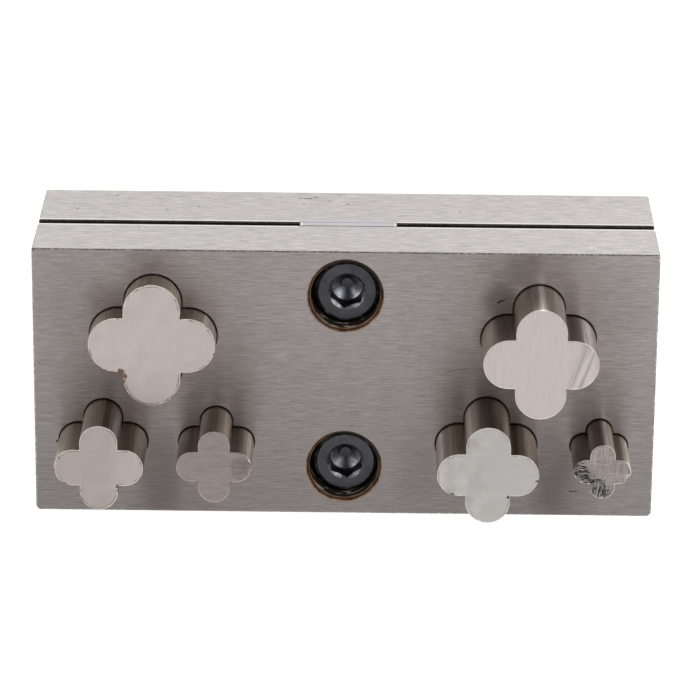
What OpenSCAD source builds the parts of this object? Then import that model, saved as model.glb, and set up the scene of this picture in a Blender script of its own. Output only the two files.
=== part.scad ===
// Disc cutter: two ground steel plates screwed together over a thin spacer strip, so that sheet
// metal slides in between them, and six loose quatrefoil punches, each in its own guide hole.
// Millimetres. The block lies on its die plate, +Z along the punches. The origin is at the centre
// of the base, +X along the block and +Y towards the upper row of punches.

/* [Block] */
// Length of both plates
block_l = 98.5; // [96:0.5:120]
// Width of both plates
block_w = 44.2; // [42:0.1:54]
// Thickness of the guide plate, which the punches enter
guide_t = 12.8; // [11:0.1:17]
// Thickness of the die plate, which rests on the bench
die_t = 15.7; // [13:0.1:20]
// Height of the slot between the plates that takes the sheet
sheet_gap = 1.7; // [1:0.1:3]
// Small chamfer that breaks the plates' edges
edge_break = 0.2; // [0.1:0.05:0.4]
// Chamfer down the two upright corners of the lower long side
corner_cut = 0.6; // [0.4:0.1:1.5]

/* [Spacer strip] */
// Width of the strip that holds the plates apart
spacer_w = 15.3; // [12:0.1:20]
// How far the strip sits to the right of the block's middle
spacer_x = 0.3; // [-1:0.05:1]

/* [Clamp screws] */
// Diameter of the screws' thread
screw_d = 6; // [5:0.1:6.5]
// Length of the screws under the head
screw_l = 16; // [14:0.5:20]
// Diameter of the screws' heads
head_d = 10; // [9:0.1:11]
// Height of the screws' heads
head_h = 6; // [5:0.1:6.5]
// Chamfer round the top of a head
head_cut = 0.5; // [0.2:0.05:0.6]
// Size of the hexagon socket across its flats
socket_flats = 5; // [4.5:0.1:5.2]
// Depth of the socket's straight part
socket_depth = 3; // [2:0.1:3.5]
// Diameter of the socket's countersunk mouth
socket_mouth_d = 6; // [5.8:0.1:6.6]
// Diameter of the flat at the bottom of the socket's cone
socket_tip_d = 1.7; // [1:0.1:2.5]
// Turn of the upper screw's hexagon in degrees
upper_turn = 20; // [0:1:59]
// Turn of the lower screw's hexagon in degrees
lower_turn = 37; // [0:1:59]
// Distance from the upper long side to the upper screw
upper_screw_inset = 7.35; // [7:0.05:9]
// Distance from the lower long side to the lower screw
lower_screw_inset = 8.05; // [7:0.05:9]
// How far the heads sit below the guide plate's face
head_recess = 2.3; // [1:0.1:3.5]
// How far the screws stand to the right of their counterbores' middle
screw_shift = 0.25; // [0:0.05:0.25]

/* [Dowel pins] */
// Diameter of the two pins that line the plates up
dowel_d = 4; // [3:0.1:5]
// Length of a pin
dowel_l = 18; // [15:0.5:22]
// Distance between the two pins
dowel_pitch = 10; // [8:0.1:11.5]
// How far a pin stands up into the guide plate
dowel_reach = 5; // [3:0.1:6]

/* [Punches] */
// Length of every punch
punch_l = 35; // [33:0.5:45]
// Chamfer round the struck end of every punch
struck_cut = 0.2; // [0.1:0.05:0.4]
// Distance from the upper long side to the upper row of punches
upper_row_inset = 14.15; // [13:0.05:15]
// Distance from the lower long side to the lower row of punches
lower_row_inset = 12.1; // [11:0.05:13]

/* [Punch 20 mm] */
// Size across opposite lobes
punch_20_span = 20; // [19:0.1:21.5]
// Width of one lobe
punch_20_lobe = 9; // [7:0.1:10]
// Distance from the block's left end
punch_20_inset = 19; // [17:0.05:22]
// Height of the cutting end above the bench
punch_20_lift = 0.3; // [0:0.1:12]

/* [Punch 18 mm] */
// Size across opposite lobes
punch_18_span = 18; // [17:0.1:19.5]
// Width of one lobe
punch_18_lobe = 8; // [6:0.1:9]
// Distance from the block's right end
punch_18_inset = 18.75; // [17:0.05:21]
// Height of the cutting end above the bench
punch_18_lift = 7.2; // [0:0.1:12]

/* [Punch 16 mm] */
// Size across opposite lobes
punch_16_span = 16; // [14.5:0.1:17]
// Width of one lobe
punch_16_lobe = 7; // [5.5:0.1:8]
// Distance from the block's right end
punch_16_inset = 26.65; // [25:0.05:28]
// Height of the cutting end above the bench
punch_16_lift = 8.5; // [0:0.1:12]

/* [Punch 14 mm] */
// Size across opposite lobes
punch_14_span = 14; // [12.5:0.1:15]
// Width of one lobe
punch_14_lobe = 6; // [4.5:0.1:7]
// Distance from the block's left end
punch_14_inset = 10.95; // [9.5:0.05:12]
// Height of the cutting end above the bench
punch_14_lift = 7.2; // [0:0.1:12]

/* [Punch 12 mm] */
// Size across opposite lobes
punch_12_span = 11.9; // [11:0.1:13.5]
// Width of one lobe
punch_12_lobe = 5; // [4:0.1:5.9]
// Distance from the block's left end
punch_12_inset = 28.95; // [27.5:0.05:31]
// Height of the cutting end above the bench
punch_12_lift = 6.3; // [0:0.1:12]

/* [Punch 9 mm] */
// Size across opposite lobes
punch_9_span = 9; // [8:0.1:10]
// Width of one lobe
punch_9_lobe = 4; // [3.2:0.1:4.5]
// Distance from the block's right end
punch_9_inset = 8.7; // [7.5:0.05:10]
// Height of the cutting end above the bench
punch_9_lift = 6.5; // [0:0.1:12]

/* [Fits] */
// Gap all round a punch in the guide plate
guide_clear = 0.1; // [0.03:0.01:0.15]
// Gap all round a punch in the die plate
die_clear = 0.05; // [0.02:0.01:0.1]
// Gap all round a screw's thread in the die plate
thread_clear = 0.05; // [0.02:0.01:0.1]
// Gap all round a screw in the guide plate and the spacer
screw_clear = 0.3; // [0.3:0.05:0.5]
// Gap all round a screw's head in its counterbore
head_clear = 0.5; // [0.3:0.05:0.8]
// Gap all round a dowel pin in the guide plate
dowel_clear = 0.02; // [0.01:0.01:0.05]
// Gap all round a dowel pin in the spacer
spacer_clear = 0.2; // [0.1:0.05:0.4]
// Room left over a dowel pin's end in the guide plate
dowel_room = 1; // [0.3:0.1:2]
// Chamfer round the mouth of a counterbore
rim_break = 0.6; // [0.4:0.05:0.7]
// Countersink at both ends of a screw's or a pin's hole in the die plate
mouth_cut = 0.5; // [0.2:0.1:1]

/* [Hidden] */
$fn = 96;

// Heights of the faces above the bench
guide_z = die_t + sheet_gap;
top_z = guide_z + guide_t;
seat_z = top_z - head_recess - head_h;
screw_tip_z = seat_z - screw_l;
dowel_end_z = guide_z + dowel_reach;
// Places across and along the block
upper_screw_y = block_w / 2 - upper_screw_inset;
lower_screw_y = lower_screw_inset - block_w / 2;
screw_ys = [upper_screw_y, lower_screw_y];
screw_mid_y = (upper_screw_y + lower_screw_y) / 2;
dowel_ys = [screw_mid_y + dowel_pitch / 2, screw_mid_y - dowel_pitch / 2];
upper_row_y = block_w / 2 - upper_row_inset;
lower_row_y = lower_row_inset - block_w / 2;
left_end = -block_l / 2;
right_end = block_l / 2;
// How far a cutting tool runs past a face
overrun = 1;
// Half angle of a drilled point
drill_half_angle = 60;
// How much smaller than the hexagon the pilot hole of a socket is, all round
pilot_margin = 0.06;
thread_tip_cut = 0.8;
dowel_end_cut = 0.3;
ground_steel = [0.66, 0.64, 0.62];
punch_steel = [0.74, 0.71, 0.69];
strip_metal = [0.78, 0.77, 0.8];
black_oxide = [0.15, 0.15, 0.17];

// A punch: size across the lobes, lobe width, where it stands at rest
PUNCH_20 = [
    punch_20_span, punch_20_lobe, [left_end + punch_20_inset, upper_row_y, punch_20_lift]
];
PUNCH_18 = [
    punch_18_span, punch_18_lobe, [right_end - punch_18_inset, upper_row_y, punch_18_lift]
];
PUNCH_16 = [
    punch_16_span, punch_16_lobe, [right_end - punch_16_inset, lower_row_y, punch_16_lift]
];
PUNCH_14 = [
    punch_14_span, punch_14_lobe, [left_end + punch_14_inset, lower_row_y, punch_14_lift]
];
PUNCH_12 = [
    punch_12_span, punch_12_lobe, [left_end + punch_12_inset, lower_row_y, punch_12_lift]
];
PUNCH_9 = [
    punch_9_span, punch_9_lobe, [right_end - punch_9_inset, lower_row_y, punch_9_lift]
];
PUNCHES = [PUNCH_20, PUNCH_18, PUNCH_16, PUNCH_14, PUNCH_12, PUNCH_9];

// Four round lobes: two crossed bars with round ends, grown all round by a clearance
module quatrefoil(span, lobe, grow = 0) {
    reach = (span - lobe) / 2;
    width = lobe + 2 * grow;
    for (turn = [0, 90]) rotate(turn) {
        square([2 * reach, width], center = true);
        for (side = [-1, 1]) translate([side * reach, 0]) circle(d = width);
    }
}

// The chamfered end of a punch: crossed bars with sloping flanks, a cone at each lobe
module chamfered_quatrefoil(span, lobe, cut) {
    reach = (span - lobe) / 2;
    flank = lobe / 2;
    slope = [[-flank, 0], [flank, 0], [flank - cut, cut], [cut - flank, cut]];
    for (turn = [0, 90]) rotate(turn) {
        rotate([90, 0, 90]) linear_extrude(2 * reach, center = true) polygon(slope);
        for (side = [-1, 1]) translate([side * reach, 0, 0])
            cylinder(h = cut, r1 = flank, r2 = flank - cut);
    }
}

// A rectangle standing on its lower edge, its corners cut at 45 degrees
module cut_rectangle(across, up, low_cut, high_cut) {
    half = across / 2;
    polygon([
        [low_cut - half, 0], [half - low_cut, 0], [half, low_cut], [half, up - high_cut],
        [half - high_cut, up], [high_cut - half, up], [-half, up - high_cut], [-half, low_cut]
    ]);
}

// A plate with all its edges broken: the room common to its plan and its two sections
module plate_block(thick) {
    intersection() {
        translate([0, -block_w / 2, 0]) linear_extrude(thick)
            cut_rectangle(block_l, block_w, corner_cut, edge_break);
        rotate([90, 0, 90]) linear_extrude(block_l + overrun, center = true)
            cut_rectangle(block_w, thick, edge_break, edge_break);
        rotate([90, 0, 0]) linear_extrude(block_w + overrun, center = true)
            cut_rectangle(block_l, thick, edge_break, edge_break);
    }
}

module punch_holes(from_z, thick, grow) {
    for (p = PUNCHES) translate([p[2].x, p[2].y, from_z - overrun])
        linear_extrude(thick + 2 * overrun) quatrefoil(p[0], p[1], grow);
}

module round_holes(x, ys, from_z, to_z, d) {
    for (y = ys) translate([x, y, from_z]) cylinder(h = to_z - from_z, d = d);
}

// Holes right through the die plate, countersunk at both ends
module countersunk_holes(x, ys, d) {
    round_holes(x, ys, -overrun, die_t + overrun, d);
    for (y = ys) translate([x, y, 0]) {
        cylinder(h = mouth_cut, d1 = d + 2 * mouth_cut, d2 = d);
        translate([0, 0, die_t - mouth_cut])
            cylinder(h = mouth_cut, d1 = d, d2 = d + 2 * mouth_cut);
    }
}

// Counterbores for the screws' heads, with the edge at the face broken
module counterbores() {
    d = head_d + 2 * head_clear;
    round_holes(0, screw_ys, seat_z, top_z + overrun, d);
    for (y = screw_ys) translate([0, y, top_z - rim_break])
        cylinder(h = rim_break, d1 = d, d2 = d + 2 * rim_break);
}

module guide_plate() {
    color(ground_steel) difference() {
        translate([0, 0, guide_z]) plate_block(guide_t);
        punch_holes(guide_z, guide_t, guide_clear);
        round_holes(0, screw_ys, guide_z - overrun, seat_z + overrun, screw_d + 2 * screw_clear);
        counterbores();
        round_holes(0, dowel_ys, guide_z - overrun, dowel_end_z + dowel_room,
            dowel_d + 2 * dowel_clear);
    }
}

module die_plate() {
    color(ground_steel) difference() {
        plate_block(die_t);
        punch_holes(0, die_t, die_clear);
        countersunk_holes(screw_shift, screw_ys, screw_d + 2 * thread_clear);
        countersunk_holes(0, dowel_ys, dowel_d);
    }
}

module spacer_strip() {
    color(strip_metal) difference() {
        translate([spacer_x - spacer_w / 2, -block_w / 2, die_t])
            cube([spacer_w, block_w, sheet_gap]);
        round_holes(screw_shift, screw_ys, die_t - overrun, guide_z + overrun,
            screw_d + 2 * screw_clear);
        round_holes(0, dowel_ys, die_t - overrun, guide_z + overrun,
            dowel_d + 2 * spacer_clear);
    }
}

// The recess for the key: a drilled pilot hole with a 90 degree countersink, then the hexagon
module key_socket(turn) {
    hexagon_d = socket_flats / cos(30);
    tip_r = socket_tip_d / 2;
    pilot_r = socket_flats / 2 - pilot_margin;
    mouth_r = socket_mouth_d / 2;
    tip_z = -socket_depth - (pilot_r - tip_r) / tan(drill_half_angle);
    drilled = [
        [0, tip_z], [tip_r, tip_z], [pilot_r, -socket_depth], [pilot_r, pilot_r - mouth_r],
        [mouth_r + overrun, overrun], [0, overrun]
    ];
    rotate_extrude() polygon(drilled);
    rotate(turn) translate([0, 0, -socket_depth])
        cylinder(h = socket_depth + overrun, d = hexagon_d, $fn = 6);
}

module cap_screw(y, turn) {
    shank_r = screw_d / 2;
    head_r = head_d / 2;
    head_top_z = screw_l + head_h;
    outline = [
        [0, 0], [shank_r - thread_tip_cut, 0], [shank_r, thread_tip_cut], [shank_r, screw_l],
        [head_r, screw_l], [head_r, head_top_z - head_cut], [head_r - head_cut, head_top_z],
        [0, head_top_z]
    ];
    color(black_oxide) translate([screw_shift, y, screw_tip_z]) difference() {
        rotate_extrude() polygon(outline);
        translate([0, 0, head_top_z]) key_socket(turn);
    }
}

module dowel_pin(y) {
    r = dowel_d / 2;
    outline = [
        [0, 0], [r - dowel_end_cut, 0], [r, dowel_end_cut], [r, dowel_l - dowel_end_cut],
        [r - dowel_end_cut, dowel_l], [0, dowel_l]
    ];
    color(punch_steel) translate([0, y, dowel_end_z - dowel_l])
        rotate_extrude() polygon(outline);
}

module punch(p) {
    color(punch_steel) translate(p[2]) {
        linear_extrude(punch_l - struck_cut) quatrefoil(p[0], p[1]);
        translate([0, 0, punch_l - struck_cut])
            chamfered_quatrefoil(p[0], p[1], struck_cut);
    }
}

guide_plate();
die_plate();
spacer_strip();
cap_screw(screw_ys[0], upper_turn);  // upper_cap_screw
cap_screw(screw_ys[1], lower_turn);  // lower_cap_screw
dowel_pin(dowel_ys[0]);  // upper_dowel_pin
dowel_pin(dowel_ys[1]);  // lower_dowel_pin
punch(PUNCH_20);  // punch_20mm
punch(PUNCH_18);  // punch_18mm
punch(PUNCH_16);  // punch_16mm
punch(PUNCH_14);  // punch_14mm
punch(PUNCH_12);  // punch_12mm
punch(PUNCH_9);  // punch_9mm
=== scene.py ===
import math

import bpy
from mathutils import Matrix, Vector, noise


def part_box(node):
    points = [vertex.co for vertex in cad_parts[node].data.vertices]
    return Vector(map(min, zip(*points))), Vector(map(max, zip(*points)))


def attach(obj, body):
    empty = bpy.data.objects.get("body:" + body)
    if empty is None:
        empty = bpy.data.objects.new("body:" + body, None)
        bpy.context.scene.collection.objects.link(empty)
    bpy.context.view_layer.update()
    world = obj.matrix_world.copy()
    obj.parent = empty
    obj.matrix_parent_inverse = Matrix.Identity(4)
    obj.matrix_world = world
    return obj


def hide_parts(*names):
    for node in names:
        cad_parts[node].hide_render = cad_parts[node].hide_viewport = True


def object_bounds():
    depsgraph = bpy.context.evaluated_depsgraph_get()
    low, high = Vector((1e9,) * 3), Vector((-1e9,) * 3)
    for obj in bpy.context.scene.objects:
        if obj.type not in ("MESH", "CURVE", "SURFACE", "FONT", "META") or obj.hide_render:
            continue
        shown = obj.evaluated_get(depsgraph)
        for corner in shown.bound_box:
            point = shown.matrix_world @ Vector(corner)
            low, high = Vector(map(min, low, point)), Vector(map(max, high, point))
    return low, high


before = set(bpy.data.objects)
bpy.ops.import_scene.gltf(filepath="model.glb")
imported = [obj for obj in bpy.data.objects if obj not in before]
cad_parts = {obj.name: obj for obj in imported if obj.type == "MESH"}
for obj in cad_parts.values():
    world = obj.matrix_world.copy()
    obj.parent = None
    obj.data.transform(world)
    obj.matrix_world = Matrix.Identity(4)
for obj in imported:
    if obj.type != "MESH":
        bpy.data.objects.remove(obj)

# The disc cutter as photographed, in a pale studio. The plates, strip, screws and pins are the
# CAD's own pieces with node materials. Each punch is replaced by a mesh with a worn, dented rim.
# Lengths are in millimetres, unless a comment says metres or they are multiplied by MM. Colours
# are linear red, green and blue.

MM = 0.001
CAD_BOX = [list(corner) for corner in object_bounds()]

# The camera, from a fit to the photograph's corners, edges and lobes
CAMERA_PLACE = Vector((3.021, 217.988, 609.915)) * MM
CAMERA_FOCUS = Vector((-0.785, 7.404, 30.2)) * MM
CAMERA_ROLL = math.radians(0.513)
CAMERA_LENS = 207.02
SENSOR = 36.0
# In metres
CLIP_START, CLIP_END = 0.01, 20.0

# The studio: a pale room that darkens overhead, most of all over the far side of the block
HORIZON = (1.0, 0.985, 0.97)
CEILING = (0.13, 0.124, 0.12)
DARK_WAY = (0.0, 0.45, 0.89)
DARK_FROM, DARK_TO = 0.3, 0.97
# A soft box at either side, as its place in metres and its watts, and the size of both in metres
LAMPS = (((-0.36, 0.24, 0.34), 0.75), ((0.3, 0.26, 0.3), 1.05))
LAMP_SIZE = 0.3
# The floor lies just under the block. Its size is in metres. It glows, but under the block only
# this far in from the block's sides
FLOOR_SIZE = 6.0
FLOOR_MARGIN = 1.0
FLOOR_GLOW = 0.75
FLOOR_PAINT = (0.5, 0.5, 0.5)
FLOOR_DROP = 0.02 * MM

# The plates, strip and screws, as packed
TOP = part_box("guide_plate")[1][2] / MM
SLOT = [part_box("die_plate")[1][2] / MM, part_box("guide_plate")[0][2] / MM]
HALF_LENGTH = CAD_BOX[1][0] / MM
HALF_WIDTH = CAD_BOX[1][1] / MM
STRIP_ENDS = [corner[0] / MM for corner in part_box("spacer_strip")]
STRIP_MIDDLE, STRIP_HALF = sum(STRIP_ENDS) / 2, (STRIP_ENDS[1] - STRIP_ENDS[0]) / 2
COUNTERBORES = [(0.0, 14.75), (0.0, -14.05)]
COUNTERBORE_R = 5.5
MOUTH_CHAMFER = 0.6
HEAD_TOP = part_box("upper_cap_screw")[1][2] / MM
SCREW_R = 3.0
SCREW_SHIFT = 0.25
THREAD_PITCH = 1.0
# How far in from the block's sides its inside begins, and where it has fully begun
INSIDE_FROM, INSIDE_FULL = 0.8, 1.2
# How far from a punch's outline the dirt round it is at its darkest, and where it ends
GAP_FULL, GAP_END = 0.18, 0.26
# The way from a counterbore's middle to where the rust of its mouth is strongest
RUST_WAY = (-0.5, -0.86)
# How much flatter than long a pit in the side is
PIT_FLATNESS = 1.6
# The relief of the plates: the depth of the grinding marks, and pits and threads in depths of it
GRINDING_DEPTH = 0.012
PIT_DEPTHS = 3.0
THREAD_DEPTHS = 40.0

# Scratches on the face, from one place to another, with their half widths
SCRATCHES = [
    ((23.9, 13.9), (24.7, 14.25), 0.17), ((24.6, 14.15), (25.3, 14.5), 0.09),
    ((36.1, -17.9), (37.3, -17.8), 0.08),
    ((16.0, 2.2), (19.5, 2.9), 0.04), ((-8.5, -3.0), (-6.0, -3.4), 0.04),
]
# Pits in the face as (x, y, radius)
FACE_PITS = [
    (-48.9, 21.9, 0.22), (-45.73, -10.25, 0.25), (-48.2, 3.0, 0.12), (5.1, -7.3, 0.1),
    (36.0, -20.6, 0.1),
]
# Pits in the long side that is seen, as (x, z, half length)
SIDE_PITS = [
    (-7.5, 3.1, 0.3), (-6.7, 3.3, 0.4), (-6.05, 3.35, 0.4), (-5.15, 2.65, 0.35), (-6.9, 6.4, 0.25),
    (-2.8, 4.5, 0.3), (0.15, 6.1, 0.3), (3.1, 5.9, 0.2),
    (-45.7, 4.9, 0.17), (-44.1, 7.5, 0.22), (-43.45, 10.0, 0.26), (-41.3, 10.0, 0.12),
    (-37.5, 2.7, 0.25), (-37.5, 12.4, 0.2), (-33.0, 18.9, 0.2), (-31.95, 19.0, 0.15),
    (-31.95, 9.9, 0.18), (-29.0, 9.8, 0.28), (-23.9, 8.25, 0.2), (-21.35, 4.3, 0.2),
    (18.2, 9.4, 0.22),
]
# Dark smears on the face as (x, y, half width, half height, strength): painted shade and painted
# reflections of the punches, with some oil
SHADE_AND_OIL_SMEARS = [
    (24.3, 14.2, 3.9, 3.9, 0.42), (22.5, 8.6, 3.0, 3.0, 0.26), (28.5, 19.5, 4.3, 4.3, 0.22),
    (-29.3, -14.5, 5.2, 11.5, 0.4), (-26.5, -21.5, 11.0, 4.0, 0.16),
    (33.0, -13.5, 5.2, 11.5, 0.45), (32.0, -21.5, 11.0, 4.0, 0.18),
    (12.5, -12.5, 5.5, 9.5, 0.14), (-43.0, 14.0, 9.0, 9.5, 0.12), (-38.6, 14.2, 3.5, 3.5, 0.16),
    (42.0, 13.5, 9.0, 8.5, 0.13),
]

# A punch's mesh: the spacing of the points of its outline, the worn chamfer of its struck end, how
# far a battered rim is chipped, and the chamfer of its foot
POINT_SPACING = 0.16
RIM_LEAST, RIM_MOST = 0.03, 0.17
CHIP_DEPTH = 0.45
FOOT_CHAMFER = 0.05
SHARP_ANGLE = math.radians(25)
# The dents: how far in from the outline and how far down they reach, and how far they press the
# rim in for each millimetre that they press it down
DENT_REACH, DENT_DROP = 0.5, 1.0
DENT_PUSH = 0.6

# The punches. body and lobe: the body that it belongs to and its lobes' width. colour and rough:
# those of its struck end. battered, shine and rusty, from 0 to 1: how chipped its rim is, how
# bright the painted highlight on its rim is, and whether its nicks are rusty. Places are from its
# middle: dents in the rim as (x, y, size, depth), dark nicks as (x, y, size), and streaks of
# painted reflection and shade down its sides as (x, half width, tone).
PUNCHES = {
    "punch_20mm": dict(
        body="punch_20", lobe=9.0, colour=(0.728, 0.66, 0.643), rough=0.6,
        battered=0.7, shine=1.0, rusty=1.0,
        dents=[
            (-4.7, -4.9, 0.9, 0.3), (-7.4, -4.4, 0.5, 0.15), (-9.6, -1.9, 0.5, 0.12),
            (8.4, 3.4, 0.6, 0.15), (9.7, -1.4, 0.5, 0.1), (4.6, 4.5, 0.7, 0.15),
            (-1.2, 9.9, 0.6, 0.12), (3.2, -8.6, 0.6, 0.12), (-5.4, 4.6, 0.5, 0.12),
        ],
        nicks=[(-4.95, -4.25, 0.4), (-4.3, -5.2, 0.45), (-4.35, -6.0, 0.25)],
        reflection_streaks=[(-3.3, 0.5, 0.8), (1.2, 1.0, 1.15), (8.6, 0.4, 1.3)],
    ),
    "punch_18mm": dict(
        body="punch_18", lobe=8.0, colour=(0.8, 0.74, 0.722), rough=0.52,
        battered=0.1, shine=1.0, rusty=0.0,
        dents=[(3.9, -4.1, 0.5, 0.1), (-3.2, -8.0, 0.5, 0.1)],
        nicks=[],
        reflection_streaks=[
            (0.1, 0.5, 2.6), (-1.0, 0.4, 1.35), (1.4, 0.5, 0.66), (2.4, 0.7, 0.75),
            (-2.4, 0.9, 0.85), (7.2, 0.9, 2.15), (6.7, 0.2, 1.3), (5.6, 1.2, 0.42),
            (-5.8, 1.3, 0.65), (-8.0, 0.5, 1.2),
        ],
    ),
    "punch_16mm": dict(
        body="punch_16", lobe=7.0, colour=(0.668, 0.648, 0.632), rough=0.62,
        battered=0.4, shine=1.0, rusty=0.0,
        dents=[
            (-5.6, -3.3, 0.5, 0.2), (7.7, -0.9, 0.5, 0.2), (3.2, -3.7, 0.5, 0.15),
            (-5.2, 3.5, 0.4, 0.1), (6.6, 2.9, 0.4, 0.08),
        ],
        nicks=[(-5.5, -3.15, 0.2), (7.65, -0.9, 0.2), (3.2, -3.6, 0.22)],
        reflection_streaks=[
            (-0.4, 1.3, 0.46), (-3.0, 0.5, 1.7), (-5.5, 2.0, 1.12), (2.9, 0.5, 1.5),
            (-7.4, 0.4, 2.2), (-6.5, 0.3, 0.85), (-4.3, 0.5, 0.95), (4.3, 0.5, 0.35),
            (5.4, 0.4, 0.6),
        ],
    ),
    "punch_14mm": dict(
        body="punch_14", lobe=6.0, colour=(0.605, 0.55, 0.528), rough=0.66,
        battered=0.5, shine=1.0, rusty=0.0,
        dents=[
            (3.1, -3.4, 0.5, 0.1), (-6.3, 1.6, 0.5, 0.14), (-7.0, -0.4, 0.6, 0.2),
            (-5.2, -2.6, 0.9, 0.15), (-3.0, -5.2, 0.9, 0.12), (2.7, 1.2, 0.4, 0.1),
        ],
        nicks=[
            (2.95, -3.1, 0.25), (3.0, -3.7, 0.18), (-6.2, 1.6, 0.12), (6.4, 0.8, 0.13),
            (-6.85, -1.1, 0.12),
        ],
        reflection_streaks=[
            (-1.6, 0.7, 0.6), (0.0, 0.4, 1.3), (1.1, 0.5, 0.45), (2.6, 0.4, 1.7), (4.6, 0.8, 0.7),
        ],
    ),
    "punch_12mm": dict(
        body="punch_12", lobe=5.0, colour=(0.42, 0.362, 0.354), rough=0.5,
        battered=0.15, shine=0.45, rusty=0.0,
        dents=[(5.6, 1.3, 0.8, 0.15), (5.8, -0.9, 0.7, 0.15), (2.6, -2.7, 0.5, 0.1)],
        nicks=[(2.6, -2.6, 0.2), (-2.6, -2.5, 0.15)],
        reflection_streaks=[
            (1.8, 0.35, 1.3), (-0.6, 0.6, 0.7), (-4.4, 0.9, 0.5), (5.3, 0.3, 1.8), (3.4, 0.9, 0.6),
        ],
    ),
    "punch_9mm": dict(
        body="punch_9", lobe=4.0, colour=(0.495, 0.445, 0.428), rough=0.42,
        battered=0.3, shine=1.0, rusty=0.0,
        dents=[(4.2, -1.2, 0.9, 0.3), (4.3, 0.7, 0.5, 0.12), (-3.9, -1.4, 0.6, 0.15)],
        nicks=[],
        reflection_streaks=[
            (-0.8, 0.9, 0.4), (0.6, 0.3, 1.7), (1.4, 0.4, 1.1), (4.2, 0.3, 2.0), (-3.2, 1.0, 0.4),
            (2.9, 0.4, 0.5),
        ],
    ),
}


def screen(red, green, blue):
    """A colour given as a screen shows it, from 0 to 255, made linear."""
    def channel(value):
        value /= 255
        return value / 12.92 if value <= 0.04045 else ((value + 0.055) / 1.055) ** 2.4
    return (channel(red), channel(green), channel(blue))


# Colours of the plates
STEEL_SIDE, STEEL_FACE = (0.634, 0.606, 0.596), (0.64, 0.592, 0.583)
# The colour of the smears: painted shade, with some oil
SMEAR_SHADE = (0.15, 0.11, 0.1)
# Painted shade in the holes and the slot, dark and less dark
HOLE_SHADE_DARK, HOLE_SHADE_LIGHT = (0.05, 0.04, 0.033), (0.11, 0.09, 0.075)
# Coats on the plates. A coat is a colour, and how strongly it covers the one below it
PIT = ((0.07, 0.06, 0.055), 0.9)
# Painted shade of the gap round each punch, with some oil
GAP_SHADE_AND_OIL = ((0.006, 0.004, 0.003), 0.98)
DULL_EDGE = ((0.12, 0.115, 0.11), 0.8)
WORN_EDGE = ((0.8, 0.76, 0.74), 0.6)
# A painted highlight along the edges of the open slot
SLOT_EDGE_HIGHLIGHT = ((0.98, 0.96, 0.95), 0.75)
STRIP_GLEAM = ((0.64, 0.625, 0.66), 0.8)
THREAD_CREST = ((0.42, 0.38, 0.35), 1.2)
# Colours and a coat in the counterbores
RUST_DARK, RUST_LIGHT = screen(86, 62, 46), screen(164, 127, 97)
RUST_RING = (screen(38, 27, 21), 0.9)
# The pale line along each mouth's edge is a painted highlight
OILY_MOUTH, PALE_EDGE_HIGHLIGHT = screen(40, 33, 28), screen(166, 150, 134)
# Deep in the counterbores: oil with painted shade, and painted glints
DEEP_OIL_AND_SHADE, OIL_GLINT = screen(50, 45, 39), screen(178, 168, 156)
# Colours and a coat of the punches
# The sides' colours: brown with oil, and grey for the brightest painted highlights
OILY_SIDE, SIDE_HIGHLIGHT_GREY = (0.362, 0.299, 0.235), (0.302, 0.28, 0.261)
# Oil and painted shade where a punch enters the plate
OIL_AND_SHADE_FILM = ((0.03, 0.025, 0.02), 0.35)
END_SHADE, END_GLINT = (0.026, 0.026, 0.028), (0.58, 0.55, 0.54)
# The rim's dark line, and its painted highlight
RIM_SHADE, RIM_HIGHLIGHT = screen(128, 112, 92), (0.95, 0.92, 0.89)
NICK, NICK_RUST_DARK, NICK_RUST_LIGHT = screen(58, 52, 48), screen(52, 38, 28), screen(188, 146, 96)
# Colours and coats of the screws, the strip and the pins
# After the screws' own colour come two painted highlights for the sockets
OXIDE, OXIDE_LAMP_HIGHLIGHT, OXIDE_GLINT = (0.114, 0.115, 0.134), (0.33, 0.33, 0.36), (0.4, 0.39, 0.41)
OXIDE_EDGE = ((0.24, 0.235, 0.25), 0.5)
OXIDE_WALL = ((0.03, 0.03, 0.03), 0.7)
STRIP, PIN = (0.52, 0.512, 0.53), (0.66, 0.65, 0.64)
# Painted shade where the strip meets the guide plate
STRIP_EDGE_SHADE = ((0.16, 0.15, 0.16), 0.8)
STRIP_SHEARED = ((0.9, 0.89, 0.9), 0.6)


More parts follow.
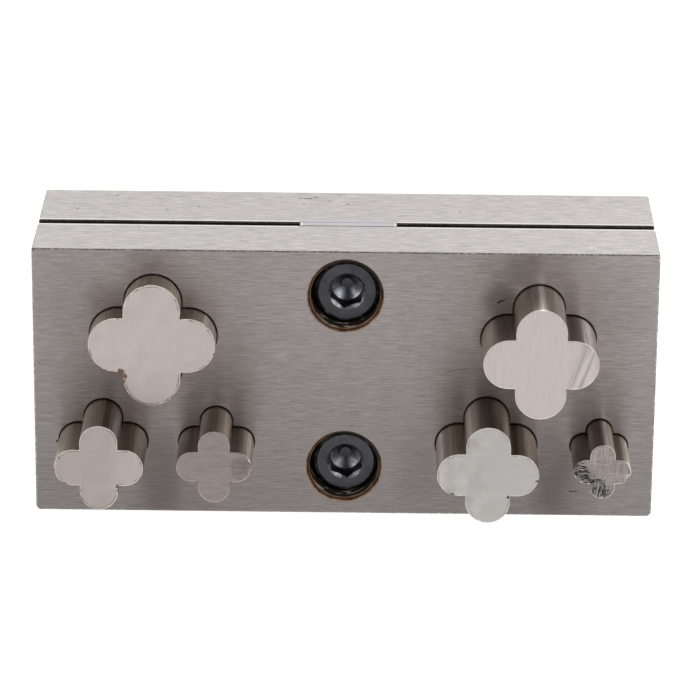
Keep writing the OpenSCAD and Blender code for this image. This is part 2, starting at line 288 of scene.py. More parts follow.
class Paint:
    """A node material under construction. Each call adds a node and returns its output.

    Most calls make masks: 1 on a part of the piece, 0 off it, and between at its soft edge.
    """

    # The Mix node's sockets for each kind of value: the two inputs and the output
    MIX_SOCKETS = {"FLOAT": (2, 3, 0), "RGBA": (6, 7, 2)}
    EDGE_SAMPLES = 4

    def __init__(self, name):
        self.material = bpy.data.materials.new(name)
        self.material.use_nodes = True
        self.tree = self.material.node_tree
        self.shader = self.tree.nodes["Principled BSDF"]
        coords = self.tree.nodes.new("ShaderNodeTexCoord")
        self.normal = self.tree.nodes.new("ShaderNodeNewGeometry").outputs["True Normal"]
        self.place = self.vector("SCALE", coords.outputs["Object"], scale=1 / MM)
        self.x, self.y, self.z = self.split(self.place)
        self.nx, self.ny, self.nz = self.split(self.normal)

    def feed(self, socket, value):
        if isinstance(value, bpy.types.NodeSocket):
            self.tree.links.new(value, socket)
        elif socket.type == "RGBA":
            socket.default_value = (*value, 1.0)
        else:
            socket.default_value = value

    def set(self, name, value):
        self.feed(self.shader.inputs[name], value)

    def math(self, operation, *values, clamp=False):
        node = self.tree.nodes.new("ShaderNodeMath")
        node.operation = operation
        node.use_clamp = clamp
        for socket, value in zip(node.inputs, values):
            self.feed(socket, value)
        return node.outputs[0]

    def chain(self, operation, values):
        total, *others = values
        for value in others:
            total = self.math(operation, total, value)
        return total

    def add(self, *values):
        return self.chain("ADD", values)

    def times(self, *values):
        return self.chain("MULTIPLY", values)

    def greatest(self, values):
        return self.chain("MAXIMUM", values)

    def less(self, a, b):
        return self.math("SUBTRACT", a, b)

    def inverse(self, value):
        return self.math("SUBTRACT", 1.0, value)

    def size(self, value):
        return self.math("ABSOLUTE", value)

    def vector(self, operation, *values, scale=None):
        node = self.tree.nodes.new("ShaderNodeVectorMath")
        node.operation = operation
        for socket, value in zip(node.inputs, values):
            self.feed(socket, value)
        if scale is not None:
            self.feed(node.inputs["Scale"], scale)
        return node.outputs["Value" if operation in ("LENGTH", "DOT_PRODUCT") else "Vector"]

    def split(self, vector):
        node = self.tree.nodes.new("ShaderNodeSeparateXYZ")
        self.feed(node.inputs[0], vector)
        return node.outputs

    def join(self, x, y, z):
        node = self.tree.nodes.new("ShaderNodeCombineXYZ")
        for socket, value in zip(node.inputs, (x, y, z)):
            self.feed(socket, value)
        return node.outputs[0]

    def turned(self, vector, degrees):
        """A vector turned about Z."""
        node = self.tree.nodes.new("ShaderNodeVectorRotate")
        node.rotation_type = "Z_AXIS"
        self.feed(node.inputs["Vector"], vector)
        node.inputs["Angle"].default_value = math.radians(degrees)
        return node.outputs[0]

    def noise(self, cycles, seed=0.0, detail=2.0, rough=0.5, vector=None):
        """Noise from 0 to 1. Cycles to the millimetre: one number, or one for each axis."""
        if isinstance(cycles, float):
            cycles = (cycles, cycles, cycles)
        stretch = self.vector("MULTIPLY", self.place if vector is None else vector, cycles)
        node = self.tree.nodes.new("ShaderNodeTexNoise")
        self.feed(node.inputs["Vector"], self.vector("ADD", stretch, (seed, seed * 1.7, seed * 0.6)))
        node.inputs["Scale"].default_value = 1.0
        node.inputs["Detail"].default_value = detail
        node.inputs["Roughness"].default_value = rough
        return node.outputs["Fac"]

    def step(self, value, low, high):
        """0 below low and 1 above high, smooth between. The other way round where low > high."""
        node = self.tree.nodes.new("ShaderNodeMapRange")
        node.interpolation_type = "SMOOTHSTEP"
        self.feed(node.inputs["Value"], value)
        if low > high:
            low, high = high, low
            node.inputs["To Min"].default_value = 1.0
            node.inputs["To Max"].default_value = 0.0
        node.inputs["From Min"].default_value = low
        node.inputs["From Max"].default_value = high
        return node.outputs["Result"]

    def close(self, value, target, near, far):
        """1 where a value is within near of a target, 0 where it is further than far from it."""
        return self.step(self.size(self.less(value, target)), far, near)

    def between(self, value, low, high):
        """A straight line from low to high as value goes from 0 to 1."""
        return self.math("MULTIPLY_ADD", value, high - low, low)

    def mixed(self, kind, factor, a, b):
        node = self.tree.nodes.new("ShaderNodeMix")
        node.data_type = kind
        first, second, result = self.MIX_SOCKETS[kind]
        self.feed(node.inputs["Factor"], factor)
        self.feed(node.inputs[first], a)
        self.feed(node.inputs[second], b)
        return node.outputs[result]

    def mix(self, factor, a, b):
        """Colour a where the factor is 0, colour b where it is 1."""
        return self.mixed("RGBA", factor, a, b)

    def cover(self, colour, mask, coat):
        """A colour with a coat over it where the mask is."""
        over, strength = coat
        return self.mix(self.times(mask, strength), colour, over)

    def blend(self, factor, a, b):
        """Number a where the factor is 0, number b where it is 1."""
        return self.mixed("FLOAT", factor, a, b)

    def shade(self, colour, factor):
        """A colour made lighter or darker by a number."""
        return self.vector("SCALE", colour, scale=factor)

    def edges(self, radius):
        """1 on the edges within a radius, 0 on the faces. The steps are cosines of the bend."""
        node = self.tree.nodes.new("ShaderNodeBevel")
        node.samples = self.EDGE_SAMPLES
        node.inputs["Radius"].default_value = radius * MM
        along = self.vector("DOT_PRODUCT", node.outputs[0], self.normal)
        return self.step(along, 0.99, 0.9)

    def distance(self, x, y):
        """Distance from an upright line at x, y."""
        away = self.vector("SUBTRACT", self.join(self.x, self.y, 0.0), (x, y, 0))
        return self.vector("LENGTH", away)

    def segment(self, start, end):
        """Distance from a straight scratch on a face that looks up."""
        start, end = Vector((*start, 0)), Vector((*end, 0))
        run = end - start
        away = self.vector("SUBTRACT", self.join(self.x, self.y, 0.0), start)
        part = self.math(
            "DIVIDE", self.vector("DOT_PRODUCT", away, run), run.length_squared, clamp=True
        )
        back = self.vector("MULTIPLY", self.join(part, part, part), run)
        return self.vector("LENGTH", self.vector("SUBTRACT", away, back))

    def inside_quatrefoil(self, x, y, reach, radius):
        """How far inside a quatrefoil's outline a place is, negative outside."""
        wide, tall = self.size(x), self.size(y)
        arms = []
        for along, across in ((wide, tall), (tall, wide)):
            past = self.greatest((self.less(along, reach), 0.0))
            arms.append(self.less(radius, self.vector("LENGTH", self.join(past, across, 0.0))))
        return self.greatest(arms)

    def bump(self, height, depth):
        """Relief of a depth on the shader's normal."""
        node = self.tree.nodes.new("ShaderNodeBump")
        node.inputs["Strength"].default_value = 1.0
        node.inputs["Distance"].default_value = depth * MM
        self.feed(node.inputs["Height"], height)
        self.set("Normal", node.outputs[0])


def make_camera():
    data = bpy.data.cameras.new("camera")
    data.lens = CAMERA_LENS
    data.sensor_width = SENSOR
    data.clip_start = CLIP_START
    data.clip_end = CLIP_END
    camera = bpy.data.objects.new("camera", data)
    bpy.context.collection.objects.link(camera)
    back = (CAMERA_PLACE - CAMERA_FOCUS).normalized()
    right = Vector((0, 1, 0)).cross(back).normalized()
    up = back.cross(right)
    turn = Matrix((right, up, back)).transposed().to_4x4()
    camera.matrix_world = (
        Matrix.Translation(CAMERA_PLACE) @ turn @ Matrix.Rotation(CAMERA_ROLL, 4, "Z")
    )
    bpy.context.scene.camera = camera


def make_world():
    world = bpy.data.worlds.new("studio")
    world.use_nodes = True
    tree = world.node_tree
    coords = tree.nodes.new("ShaderNodeTexCoord")
    toward = tree.nodes.new("ShaderNodeVectorMath")
    toward.operation = "DOT_PRODUCT"
    toward.inputs[1].default_value = DARK_WAY
    rise = tree.nodes.new("ShaderNodeMapRange")
    rise.interpolation_type = "SMOOTHSTEP"
    rise.inputs["From Min"].default_value = DARK_FROM
    rise.inputs["From Max"].default_value = DARK_TO
    room = tree.nodes.new("ShaderNodeMix")
    room.data_type = "RGBA"
    first, second, result = Paint.MIX_SOCKETS["RGBA"]
    room.inputs[first].default_value = (*HORIZON, 1)
    room.inputs[second].default_value = (*CEILING, 1)
    tree.links.new(coords.outputs["Generated"], toward.inputs[0])
    tree.links.new(toward.outputs["Value"], rise.inputs["Value"])
    tree.links.new(rise.outputs["Result"], room.inputs["Factor"])
    tree.links.new(room.outputs[result], tree.nodes["Background"].inputs["Color"])
    bpy.context.scene.world = world


def make_lamps():
    for number, (place, watts) in enumerate(LAMPS):
        data = bpy.data.lights.new(f"soft_box_{number}", "AREA")
        data.shape = "SQUARE"
        data.size = LAMP_SIZE
        data.energy = watts
        lamp = bpy.data.objects.new(data.name, data)
        bpy.context.collection.objects.link(lamp)
        lamp.location = place
        lamp.rotation_euler = (-Vector(place)).to_track_quat("-Z", "Y").to_euler()


def make_floor():
    """A white floor. It glows to the camera and to mirrors, and keeps the object's shadow.

    It is seen from above only.
    """
    bpy.ops.mesh.primitive_plane_add(size=FLOOR_SIZE, location=(0, 0, -FLOOR_DROP))
    floor = bpy.context.object
    floor.name = "floor"
    p = Paint("floor")
    p.set("Base Color", FLOOR_PAINT)
    p.set("Roughness", 1.0)
    p.set("Specular IOR Level", 0.0)
    path = p.tree.nodes.new("ShaderNodeLightPath").outputs
    seen = p.greatest(path[ray] for ray in ("Is Camera Ray", "Is Glossy Ray", "Is Transmission Ray"))
    # It doesn't glow under the block, where an empty hole would show it
    beyond = p.greatest((
        p.math("GREATER_THAN", p.size(p.x), HALF_LENGTH - FLOOR_MARGIN),
        p.math("GREATER_THAN", p.size(p.y), HALF_WIDTH - FLOOR_MARGIN),
    ))
    p.set("Emission Color", (1.0, 1.0, 1.0))
    p.set("Emission Strength", p.times(seen, beyond, FLOOR_GLOW))
    below = p.tree.nodes.new("ShaderNodeNewGeometry").outputs["Backfacing"]
    clear = p.tree.nodes.new("ShaderNodeBsdfTransparent").outputs[0]
    sides = p.tree.nodes.new("ShaderNodeMixShader")
    for socket, value in zip(sides.inputs, (below, p.shader.outputs[0], clear)):
        p.feed(socket, value)
    p.feed(p.tree.nodes["Material Output"].inputs["Surface"], sides.outputs[0])
    floor.data.materials.append(p.material)


class PlatePaint(Paint):
    """Paint for the two plates, with masks for their parts.

    end: the block's two ends. up and level: what looks up, and what looks up or down. on_face: the
    height of the guide plate's face. inside: what isn't the block's sides. hole_wall: the walls of
    the holes.
    """

    def __init__(self, name):
        super().__init__(name)
        self.end = self.step(self.size(self.nx), 0.8, 0.9)
        self.up = self.step(self.nz, 0.8, 0.9)
        self.level = self.step(self.size(self.nz), 0.3, 0.6)
        self.on_face = self.step(self.z, TOP - 0.3, TOP - 0.1)
        self.inside = self.times(
            self.step(self.size(self.x), HALF_LENGTH - INSIDE_FROM, HALF_LENGTH - INSIDE_FULL),
            self.step(self.size(self.y), HALF_WIDTH - INSIDE_FROM, HALF_WIDTH - INSIDE_FULL),
        )
        self.hole_wall = self.times(self.inside, self.inverse(self.level))


def grinding(p):
    """The marks of the grinding wheel, fine and coarse, a broad cloud, and the tone of it all."""
    # The marks run along X, and on the two ends along Y
    place = p.join(p.blend(p.end, p.x, p.y), p.blend(p.end, p.y, p.x), p.z)
    fine = p.noise((0.35, 6.0, 6.0), seed=3.1, rough=0.6, vector=place)
    coarse = p.noise((0.12, 3.2, 3.2), seed=8.4, vector=place)
    speckle = p.noise((1.4, 5.5, 5.5), seed=10.0, rough=0.7, vector=place)
    cloud = p.noise(0.06, seed=1.3, detail=3.0)
    marks = p.add(
        p.between(fine, -0.5, 0.5), p.between(coarse, -0.14, 0.14), p.between(speckle, -0.2, 0.2)
    )
    marks = p.times(marks, p.blend(p.up, 1.35, 1.0))
    tone = p.add(marks, p.between(cloud, 0.93, 1.07))
    # Painted shade: the face is darker towards its lower long side
    low_side_shade = p.between(p.step(p.y, -HALF_WIDTH, HALF_WIDTH), 0.79, 1.065)
    tone = p.times(tone, p.blend(p.times(p.up, p.on_face), 1.0, low_side_shade))
    return fine, coarse, cloud, tone


def smeared_and_shaded(p, colour):
    """A colour with the smears over it: painted shade and painted reflections of the punches, with
    some oil.
    """
    for x, y, wide, tall, strength in SHADE_AND_OIL_SMEARS:
        away = p.vector("SUBTRACT", p.join(p.x, p.y, 0.0), (x, y, 0))
        away = p.vector("LENGTH", p.vector("MULTIPLY", away, (1 / wide, 1 / tall, 0)))
        smear = p.times(p.step(away, 1.0, 0.3), p.on_face)
        colour = p.cover(colour, smear, (SMEAR_SHADE, strength))
    return colour


def scratches_and_pits(p):
    """The mask of the scratches and pits."""
    grit = p.between(p.noise(5.0, seed=40.0), -0.09, 0.09)
    wave = p.between(p.noise(2.5, seed=41.0), 0.1, -0.1)
    face = p.step(p.z, TOP - 0.2, TOP - 0.1)
    side = p.step(p.y, HALF_WIDTH - 0.1, HALF_WIDTH - 0.05)
    marks = []
    for start, end, half in SCRATCHES:
        away = p.add(p.segment(start, end), grit)
        marks.append(p.times(p.step(away, half * 1.6, half * 0.4), face))
    for x, y, radius in FACE_PITS:
        away = p.add(p.distance(x, y), wave)
        marks.append(p.times(p.step(away, radius * 1.15, radius * 0.6), face))
    for x, z, half in SIDE_PITS:
        place = p.join(p.x, 0.0, p.times(p.z, PIT_FLATNESS))
        away = p.vector("SUBTRACT", place, (x, 0, z * PIT_FLATNESS))
        away = p.add(p.vector("LENGTH", away), p.times(grit, 2.0))
        marks.append(p.times(p.step(away, half * 1.4, half * 0.6), side))
    return p.greatest(marks)


def shaded_in_holes_and_slot(p, colour):
    """A colour with painted shade on the walls of the holes and in the slot."""
    in_slot = p.times(
        p.step(p.z, SLOT[0] - 0.3, SLOT[0] - 0.1), p.step(p.z, SLOT[1] + 0.3, SLOT[1] + 0.1),
        p.level,
    )
    # Painted shade, varied by noise
    hole_and_slot_shade = p.mix(p.noise(0.5, seed=5.0, detail=4.0), HOLE_SHADE_DARK, HOLE_SHADE_LIGHT)
    return p.mix(p.greatest((p.hole_wall, in_slot)), colour, hole_and_slot_shade)


def gap_shade_and_oil(p):
    """The mask of the thin ring round each punch: painted shade of the gap, with some oil."""
    rings = []
    for node in PUNCHES:
        middle, reach, radius = punch_outline(node)
        inset = p.inside_quatrefoil(p.less(p.x, middle.x), p.less(p.y, middle.y), reach, radius)
        rings.append(p.step(inset, -GAP_END, -GAP_FULL))
    return p.times(p.greatest(rings), p.up, p.on_face)


def edged(p, colour):
    """A colour with the plates' edges over it: dull in places, and with a painted highlight along
    the open slot.
    """
    ragged = p.noise(2.6, seed=45.0, detail=4.0, rough=0.7)
    steepest = p.greatest(p.size(part) for part in (p.nx, p.ny, p.nz))
    off_slot = p.step(p.size(p.less(p.z, sum(SLOT) / 2)), 1.3, 1.5)
    dull = p.times(
        p.step(steepest, 0.97, 0.85), p.inverse(p.inside), p.step(ragged, 0.4, 0.54), off_slot
    )
    colour = p.cover(colour, dull, DULL_EDGE)
    # Painted highlights: the edges of the slot are bright where nothing is clamped between them
    open_slot = p.step(p.size(p.less(p.x, STRIP_MIDDLE)), STRIP_HALF, STRIP_HALF + 0.4)
    outside = p.inverse(p.hole_wall)
    slot_highlights = p.greatest(p.close(p.z, height, 0.65, 0.85) for height in SLOT)
    slot_highlights = p.times(slot_highlights, open_slot, p.inverse(p.level), outside)
    colour = p.cover(colour, slot_highlights, SLOT_EDGE_HIGHLIGHT)
    # Over the strip the die plate's edge is a little blue
    over_strip = p.times(
        p.inverse(open_slot), p.step(p.z, SLOT[0] - 1.7, SLOT[0] - 0.9),
        p.step(p.z, SLOT[1], SLOT[0]), outside,
    )
    return p.cover(colour, over_strip, STRIP_GLEAM)


def counterbores(p):
    """The mask of the counterbores, that of the rust on their mouths, and their colour."""
    mouth_r = COUNTERBORE_R + MOUTH_CHAMFER
    near, low_left = [], []
    for x, y in COUNTERBORES:
        near.append(p.step(p.distance(x, y), mouth_r + 0.06, mouth_r - 0.02))
        toward = p.add(
            p.times(p.less(p.x, x), RUST_WAY[0]), p.times(p.less(p.y, y), RUST_WAY[1])
        )
        own = p.close(p.y, y, mouth_r + 0.5, mouth_r + 1.0)
        low_left.append(p.times(p.step(toward, -5.0, 1.5), own))
    bore = p.times(p.greatest(near), p.step(p.z, SLOT[1] + 2.0, SLOT[1] + 3.0))
    wave = p.noise(0.5, seed=12.0, detail=4.0, rough=0.6)
    # How far down the mouth's chamfer: 0 at its top and 1 at its bottom
    depth = p.times(p.less(TOP, p.z), 1 / MOUTH_CHAMFER)
    rust = p.step(p.less(depth, p.between(wave, 0.8, 1.2)), 0.1, -0.1)
    # The rust is brown, with a dark ring in its middle
    rust_tone = p.noise(0.6, seed=15.0, detail=4.0, rough=0.65)
    colour = p.mix(p.step(rust_tone, 0.35, 0.65), RUST_DARK, RUST_LIGHT)
    ring = p.close(depth, p.between(rust_tone, 0.3, 0.85), 0.2, 0.3)
    colour = p.cover(colour, ring, RUST_RING)
    # It is strongest at the lower left of each mouth. The rest of the mouth is dark with oil, with
    # a painted highlight as a pale line along its outer edge
    colour = p.mix(p.step(p.add(*low_left, wave), 0.4, 1.1), OILY_MOUTH, colour)
    pale_highlight = p.times(p.step(depth, 0.22, 0.08), p.between(wave, 0.2, 0.9))
    colour = p.mix(pale_highlight, colour, PALE_EDGE_HIGHLIGHT)
    # Deeper down the walls are dark with oil and painted shade, with painted glints
    glints = p.noise((0.4, 0.4, 1.3), seed=18.0)
    oil = p.mix(p.step(glints, 0.57, 0.65), DEEP_OIL_AND_SHADE, OIL_GLINT)
    return bore, rust, p.mix(rust, oil, colour)


def tapped_threads(p):
    """The height of the threads in the die plate, from 0 to 0.5. They rise by a pitch each turn."""
    ridges = []
    for bore_x, y in COUNTERBORES:
        x = bore_x + SCREW_SHIFT
        turn = p.times(p.math("ARCTAN2", p.less(p.y, y), p.less(p.x, x)), 1 / math.tau)
        ridge = p.math("PINGPONG", p.less(p.times(p.z, 1 / THREAD_PITCH), turn), 0.5)
        near = p.step(p.distance(x, y), SCREW_R + 0.3, SCREW_R + 0.1)
        ridges.append(p.times(ridge, near, p.step(p.z, SLOT[0], SLOT[0] - 0.4)))
    return p.add(*ridges)


def ground_steel(name):
    """Both plates: ground steel with painted shade in the holes and the slot, and with oil and rust
    in the counterbores.
    """
    p = PlatePaint(name)
    fine, coarse, cloud, tone = grinding(p)
    marks = scratches_and_pits(p)
    dark_line = gap_shade_and_oil(p)
    bore, rust, bore_colour = counterbores(p)
    thread = tapped_threads(p)

    colour = p.shade(p.mix(p.up, STEEL_SIDE, STEEL_FACE), tone)
    # Painted shade and painted reflections of the punches, with some oil
    colour = smeared_and_shaded(p, colour)
    colour = p.cover(colour, marks, PIT)
    # Painted shade in the holes and the slot
    colour = shaded_in_holes_and_slot(p, colour)
    # Painted shade of the gap round each punch, with some oil
    colour = p.cover(colour, dark_line, GAP_SHADE_AND_OIL)
    colour = edged(p, colour)
    colour = p.mix(bore, colour, bore_colour)
    colour = p.cover(colour, thread, THREAD_CREST)
    # The edges are worn, most of all the outer ones
    chips = p.step(p.noise(1.3, seed=33.0, detail=3.0, rough=0.7), 0.38, 0.55)
    worn = p.times(p.edges(0.12), chips, p.inverse(bore), p.between(p.inside, 1.0, 0.15))
    p.set("Base Color", p.cover(colour, worn, WORN_EDGE))

    p.set("Metallic", p.inverse(p.greatest((p.times(bore, 0.85), dark_line))))
    p.set("Specular IOR Level", 0.2)
    rough = p.add(p.between(fine, 0.42, 0.6), p.between(cloud, -0.06, 0.06))
    p.set("Roughness", p.blend(p.times(bore, p.inverse(rust)), rough, 0.18))
    p.set("Anisotropic", 0.85)
    groove = p.join(p.inverse(p.end), p.end, 0.0)
    p.set("Tangent", p.vector("NORMALIZE", p.vector("CROSS_PRODUCT", p.normal, groove)))
    relief = p.times(p.add(fine, p.times(coarse, 0.5)), p.inverse(p.hole_wall))
    relief = p.add(relief, p.times(thread, THREAD_DEPTHS))
    p.bump(p.less(relief, p.times(marks, PIT_DEPTHS)), GRINDING_DEPTH)
    return p.material


def punch_outline(node):
    """A punch's middle, the distance from there to its lobes' centres, and their radius."""
    low, high = (Vector(corner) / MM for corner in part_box(node))
    radius = PUNCHES[node]["lobe"] / 2
    return ((low + high) / 2).xy, (high.x - low.x) / 2 - radius, radius


def quatrefoil(reach, radius):
    """The outline of a punch about its middle, anticlockwise, as places and outward normals."""
    outline = []
    steps = round(math.pi * radius / POINT_SPACING)
    flat_steps = max(1, round((reach - radius) / POINT_SPACING))
    for quarter in range(4):
        turn = Matrix.Rotation(quarter * math.pi / 2, 2)
        for step in range(steps + 1):
            angle = -math.pi / 2 + math.pi * step / steps
            normal = Vector((math.cos(angle), math.sin(angle)))
            outline.append((turn @ (Vector((reach, 0)) + radius * normal), turn @ normal))
        for step in range(1, flat_steps + 1):
            along = reach + (radius - reach) * step / flat_steps
            notch = step == flat_steps
            normal = Vector((1, 1)) if notch else Vector((0, 1))
            outline.append((turn @ Vector((along, radius)), turn @ normal))
    return outline


def punch_rings(foot, top, worn):
    """The rings of a punch from its foot to its struck end: how far in each is, and its height.

    The two below the rim and the two inside it let the dents fade out.
    """
    return [
        (FOOT_CHAMFER, foot), (0.0, foot + FOOT_CHAMFER), (0.0, top - 1.2), (0.0, top - 0.5),
        (0.0, top - worn), (worn * 0.3, top - worn * 0.3), (worn, top), (worn + 0.15, top),
        (0.6, top),
    ]


def dented(place, normal, inset, height, top, dents):
    """A point of a ring, pressed in and down by the dents near it."""
    at = place - normal * inset
    for x, y, size, depth in dents:
        away = (Vector((x, y)) - place).length / size
        if away < 1 and height > top - DENT_DROP:
            press = depth * (1 - away * away) ** 2 * max(0.0, 1 - inset / DENT_REACH)
            at -= normal * press * DENT_PUSH
            height -= press
    return at, height


def make_punch(node, spec):
    """A punch with a worn and dented rim, fitted to its CAD node."""
    low, high = (Vector(corner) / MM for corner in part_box(node))
    middle, reach, radius = punch_outline(node)
    outline = quatrefoil(reach, radius)
    columns = []
    for place, normal in outline:
        at = Vector((*place, radius))
        rough_rim = 0.5 + 0.5 * noise.noise(at * 1.3)
        chip = max(0.0, noise.noise(at * 2.7)) * spec["battered"] * CHIP_DEPTH
        worn = RIM_LEAST + (RIM_MOST - RIM_LEAST) * rough_rim + chip
        columns.append(punch_rings(low.z, high.z, worn))
    verts, faces = [], []
    for ring in zip(*columns):
        for (place, normal), (inset, height) in zip(outline, ring):
            at, height = dented(place, normal, inset, height, high.z, spec["dents"])
            verts.append((*(middle + at), height))
    count, levels = len(outline), len(columns[0])
    for base in range(0, (levels - 1) * count, count):
        for point in range(count):
            after = (point + 1) % count
            faces.append((base + point, base + after, base + count + after, base + count + point))
    faces.append(tuple(reversed(range(count))))
    faces.append(tuple(range((levels - 1) * count, levels * count)))
    mesh = bpy.data.meshes.new(f"{node}_worn")
    mesh.from_pydata([Vector(place) * MM for place in verts], [], faces)
    mesh.shade_smooth()
    mesh.set_sharp_from_angle(angle=SHARP_ANGLE)
    piece = bpy.data.objects.new(f"{node}_worn", mesh)
    bpy.context.collection.objects.link(piece)
    mesh.materials.append(punch_steel(node, middle, reach, radius, spec))
    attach(piece, spec["body"])
    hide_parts(node)


def end_marks(p, node, x, y):
    """How a punch's struck end is worked: its tone, and the mask of its dark part or None."""
    flat = p.join(x, y, 0.0)
    along_x = p.noise((0.5, 3.5, 1.0), seed=21.0, detail=3.0, rough=0.6, vector=flat)
    along_y = p.noise((3.5, 0.4, 1.0), seed=24.0, detail=3.0, rough=0.6, vector=flat)
    blotch = p.noise((0.45, 0.45, 1.0), seed=37.0, detail=4.0, vector=flat)
    cloud = p.between(blotch, 0.9, 1.1)
    dark = None
    if node == "punch_20mm":
        tone = p.add(cloud, p.between(along_y, -0.05, 0.05))
    elif node == "punch_18mm":
        # Slanted slashes across the right lobe
        slanted = p.turned(flat, 19)
        slashes = p.noise((1.3, 0.06, 1.0), seed=31.0, rough=0.6, vector=slanted)
        right = p.times(p.step(p.add(x, p.times(y, -0.33)), 4.2, 5.4), p.step(x, 3.8, 4.6))
        tone = p.add(p.between(along_y, 0.88, 1.12), p.times(p.between(slashes, -0.8, 0.55), right))
    elif node == "punch_16mm":
        # Blotches on the left lobe
        left = p.step(x, 1.0, -3.0)
        tone = p.add(cloud, p.times(left, p.between(blotch, -0.22, 0.2)))
    elif node == "punch_14mm":
        # A paler right lobe
        tone = p.add(cloud, p.times(p.step(p.add(x, blotch), 1.5, 5.0), 0.1))
    elif node == "punch_12mm":
        # A darker patch on the right lobe
        away = p.vector("LENGTH", p.vector("SUBTRACT", flat, (4.4, -0.2, 0.0)))
        away = p.add(away, p.between(blotch, -0.8, 0.8))
        worn = p.step(away, 2.2, 1.5)
        tone = p.add(p.between(along_x, 0.7, 1.3), p.times(worn, p.between(blotch, -0.5, 0.1)))
    else:
        # Crossed marks, and a part at the lower left that looks dark
        tone = p.between(p.greatest((along_x, along_y)), -0.1, 1.9)
        toward = p.add(
            p.times(x, -0.8), p.times(y, -0.75), p.between(along_x, -2.6, 2.6),
            p.between(along_y, -2.0, 2.0),
        )
        dark = p.step(toward, 1.1, 1.9)
    return tone, dark


def end_colour(p, node, spec, x, y, grain):
    """The colour of a punch's struck end."""
    tone, dark = end_marks(p, node, x, y)
    colour = p.shade(spec["colour"], p.add(tone, p.between(grain, -0.05, 0.05)))
    if dark is None:
        return colour
    # The glints in the dark part are level in the left lobe and upright in the lower one
    level = p.noise((0.7, 5.5, 1.0), seed=36.0, detail=3.0, rough=0.7)
    upright = p.noise((5.5, 0.7, 1.0), seed=38.0, detail=3.0, rough=0.7)
    lower = p.step(y, -1.4, -2.4)
    glint = p.add(p.blend(lower, level, upright), p.times(lower, 0.028))
    glinting = p.mix(p.step(glint, 0.51, 0.6), END_SHADE, END_GLINT)
    return p.cover(colour, dark, (glinting, 0.92))


def side_colour(p, spec, x, reach, streak, smear):
    """The colour of a punch's sides: brown with oil, with bands of painted reflection and shade, and
    grey where a painted highlight is brightest.
    """
    broad = p.noise((0.6, 0.6, 0.03), seed=reach + 3)
    tone = p.times(
        p.between(streak, 0.25, 1.8), p.between(broad, 0.6, 1.4), p.between(smear, 0.75, 1.25)
    )
    # The streaks are painted reflections and shade, lighter and darker
    for streak_x, half, strength in spec["reflection_streaks"]:
        inside = p.close(x, streak_x, half * 0.5, half * 1.5)
        tone = p.times(tone, p.blend(inside, 1.0, strength))
    # Where the painted highlight is brightest the colour turns grey
    return p.mix(p.step(tone, 0.9, 1.8), p.shade(OILY_SIDE, tone), p.shade(SIDE_HIGHLIGHT_GREY, tone))


def rimmed(p, colour, spec, reach, inset):
    """A colour with a painted highlight on a punch's worn rim, and with a broken dark line inside
    the rim.
    """
    ragged = p.noise(1.6, seed=reach + 11, detail=3.0, rough=0.7)
    width = p.between(ragged, -0.05, 0.3)
    facing = p.step(p.nz, 0.3, 0.6)
    line = p.close(p.add(width, 0.14), inset, 0.04, 0.14)
    patchy = p.step(p.noise(0.45, seed=reach + 14), 0.45, 0.6)
    colour = p.mix(p.times(line, facing, patchy, spec["battered"]), colour, RIM_SHADE)
    # The painted highlight on the rim, where it faces up
    rim = p.times(p.step(p.less(width, inset), -0.03, 0.03), facing)
    shine = p.between(ragged, 0.2, 0.9)
    return p.mix(p.times(rim, shine, spec["shine"]), colour, RIM_HIGHLIGHT)


def nicked(p, colour, spec, x, y, grain):
    """A colour with a punch's nicks over it."""
    rust = p.mix(p.step(grain, 0.4, 0.6), NICK_RUST_DARK, NICK_RUST_LIGHT)
    rust = p.mix(spec["rusty"], NICK, rust)
    for nick_x, nick_y, size in spec["nicks"]:
        away = p.vector("LENGTH", p.vector("SUBTRACT", p.join(x, y, 0.0), (nick_x, nick_y, 0)))
        nick = p.step(p.add(away, p.between(grain, -0.3, 0.3)), size * 1.3, size * 0.7)
        colour = p.cover(colour, p.times(nick, p.step(p.z, TOP, TOP + 0.5)), (rust, 0.9))
    return colour


def punch_steel(node, middle, reach, radius, spec):
    """A punch: oiled sides with marks along its axis and painted reflections, a ground end with a
    worn rim that has a painted highlight.
    """
    p = Paint(f"{node}_steel")
    x, y = p.less(p.x, middle.x), p.less(p.y, middle.y)
    up = p.step(p.size(p.nz), 0.8, 0.95)
    streak = p.noise((3.0, 3.0, 0.05), seed=reach, detail=3.0, rough=0.65)
    smear = p.noise((0.5, 0.5, 0.35), seed=reach + 5, detail=4.0, rough=0.6)
    grain = p.noise(5.0, seed=reach + 9, detail=3.0, rough=0.7)
    colour = p.mix(
        up, side_colour(p, spec, x, reach, streak, smear), end_colour(p, node, spec, x, y, grain)
    )
    colour = rimmed(p, colour, spec, reach, p.inside_quatrefoil(x, y, reach, radius))
    colour = nicked(p, colour, spec, x, y, grain)
    # A faint and uneven film of oil, with painted shade, where the punch enters the plate
    height = p.add(p.z, p.between(smear, -1.5, 1.5))
    oil_and_shade_film = p.times(
        p.step(height, TOP + 0.6, TOP), p.step(height, TOP - 5.0, TOP - 1.0), p.inverse(up)
    )
    p.set("Base Color", p.cover(colour, oil_and_shade_film, OIL_AND_SHADE_FILM))
    p.set("Metallic", 1.0)
    p.set("Roughness", p.blend(up, p.between(streak, 0.24, 0.4), spec["rough"]))
    p.set("Anisotropic", 0.5)
    tangent = p.vector("CROSS_PRODUCT", p.normal, (0.0, 0.0, 1.0))
    tangent = p.vector("ADD", tangent, p.join(up, 0.0, 0.0))
    p.set("Tangent", p.vector("NORMALIZE", tangent))
    p.bump(p.blend(up, streak, grain), 0.008)
    return p.material


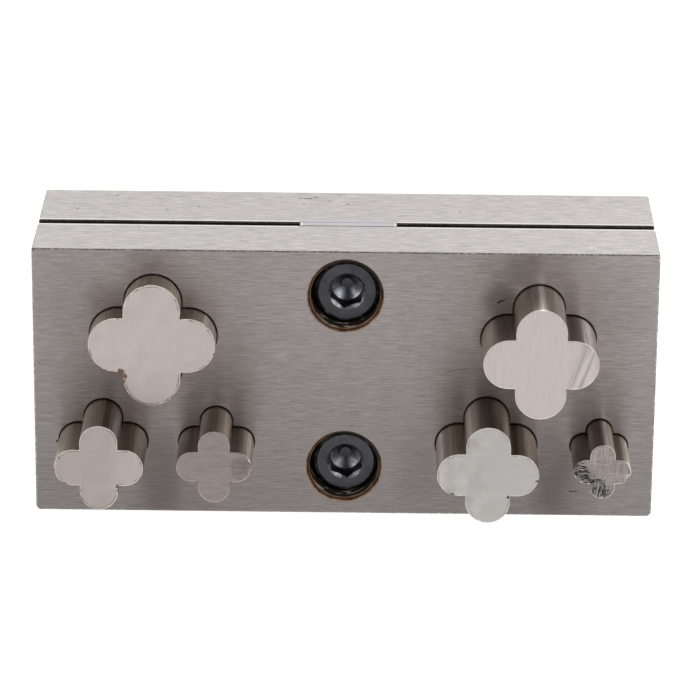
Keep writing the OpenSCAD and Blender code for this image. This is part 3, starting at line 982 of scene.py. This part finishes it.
def black_oxide(name):
    """The cap screws: black oxide, with painted highlights in the socket."""
    p = Paint(name)
    cloud = p.noise(0.6, seed=2.0, detail=4.0)
    grain = p.noise(6.0, seed=4.0, detail=3.0, rough=0.7)
    broad = p.noise(0.22, seed=11.0)
    tone = p.add(
        p.between(cloud, 0.6, 1.4), p.between(broad, -0.35, 0.25), p.between(grain, -0.2, 0.2)
    )
    colour = p.cover(p.shade(OXIDE, tone), p.edges(0.15), OXIDE_EDGE)
    # The socket's countersink lies above this height
    mouth = HEAD_TOP - 2.4
    # Painted highlights: the bottom of the socket is bright at left and right, as the soft boxes
    # reflect in it. Its middle is dark
    aside = p.size(p.less(p.x, SCREW_SHIFT))
    lamp_highlights = p.times(
        p.step(aside, 0.5, 1.3), p.step(aside, 2.6, 2.2), p.step(p.nz, 0.3, 0.5),
        p.step(p.z, mouth, mouth - 0.5), p.step(p.z, mouth - 8.0, mouth - 7.0),
    )
    highlight_breakup = p.step(p.noise(1.5, seed=19.0, detail=4.0, rough=0.7), 0.3, 0.65)
    colour = p.mix(p.times(lamp_highlights, highlight_breakup), colour, OXIDE_LAMP_HIGHLIGHT)
    # The countersink of the socket has painted glints, and the upright walls are darker
    sloping = p.times(
        p.step(p.nz, 0.5, 0.6), p.step(p.nz, 0.9, 0.8), p.step(p.z, mouth, mouth + 1.0)
    )
    glint = p.step(p.noise(1.4, seed=13.0, detail=3.0, rough=0.7), 0.4, 0.6)
    colour = p.mix(p.times(sloping, p.between(glint, 0.15, 0.9)), colour, OXIDE_GLINT)
    upright = p.step(p.size(p.nz), 0.3, 0.2)
    p.set("Base Color", p.cover(colour, upright, OXIDE_WALL))
    p.set("Metallic", 1.0)
    p.set("Roughness", p.between(cloud, 0.3, 0.42))
    p.bump(grain, 0.01)
    return p.material


def strip_metal(name):
    """The strip between the plates: satin sheet with bright sheared ends."""
    p = Paint(name)
    marks = p.noise((0.6, 0.6, 7.0), seed=6.0, detail=3.0, rough=0.6)
    cloud = p.noise(0.4, seed=9.0, detail=3.0)
    tone = p.add(p.between(marks, -0.12, 0.12), p.between(cloud, 0.92, 1.08))
    # Painted shade along the edge of the guide plate, where the strip meets it
    dark_line = p.step(p.z, SLOT[1] - 0.3, SLOT[1] - 0.05)
    colour = p.cover(p.shade(STRIP, tone), dark_line, STRIP_EDGE_SHADE)
    sheared = p.step(p.size(p.less(p.x, STRIP_MIDDLE)), STRIP_HALF - 0.4, STRIP_HALF - 0.2)
    p.set("Base Color", p.cover(colour, sheared, STRIP_SHEARED))
    p.set("Metallic", 1.0)
    p.set("Roughness", p.between(cloud, 0.45, 0.6))
    p.bump(marks, 0.01)
    return p.material


def pin_steel(name):
    """The dowel pins: polished steel."""
    p = Paint(name)
    marks = p.noise((0.5, 0.5, 8.0), seed=7.0)
    p.set("Base Color", p.shade(PIN, p.between(marks, 0.9, 1.1)))
    p.set("Metallic", 1.0)
    p.set("Roughness", p.between(marks, 0.18, 0.3))
    p.bump(marks, 0.004)
    return p.material


def dress(material, *nodes):
    """Give CAD nodes a material."""
    for node in nodes:
        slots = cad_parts[node].data.materials
        slots.clear()
        slots.append(material)


make_camera()
make_world()
make_lamps()
make_floor()

dress(ground_steel("ground_steel_worn"), "guide_plate", "die_plate")
dress(black_oxide("black_oxide_worn"), "upper_cap_screw", "lower_cap_screw")
dress(strip_metal("strip_metal_satin"), "spacer_strip")
dress(pin_steel("pin_steel_ground"), "upper_dowel_pin", "lower_dowel_pin")
for node, spec in PUNCHES.items():
    make_punch(node, spec)

bpy.context.scene.view_settings.view_transform = "Standard"
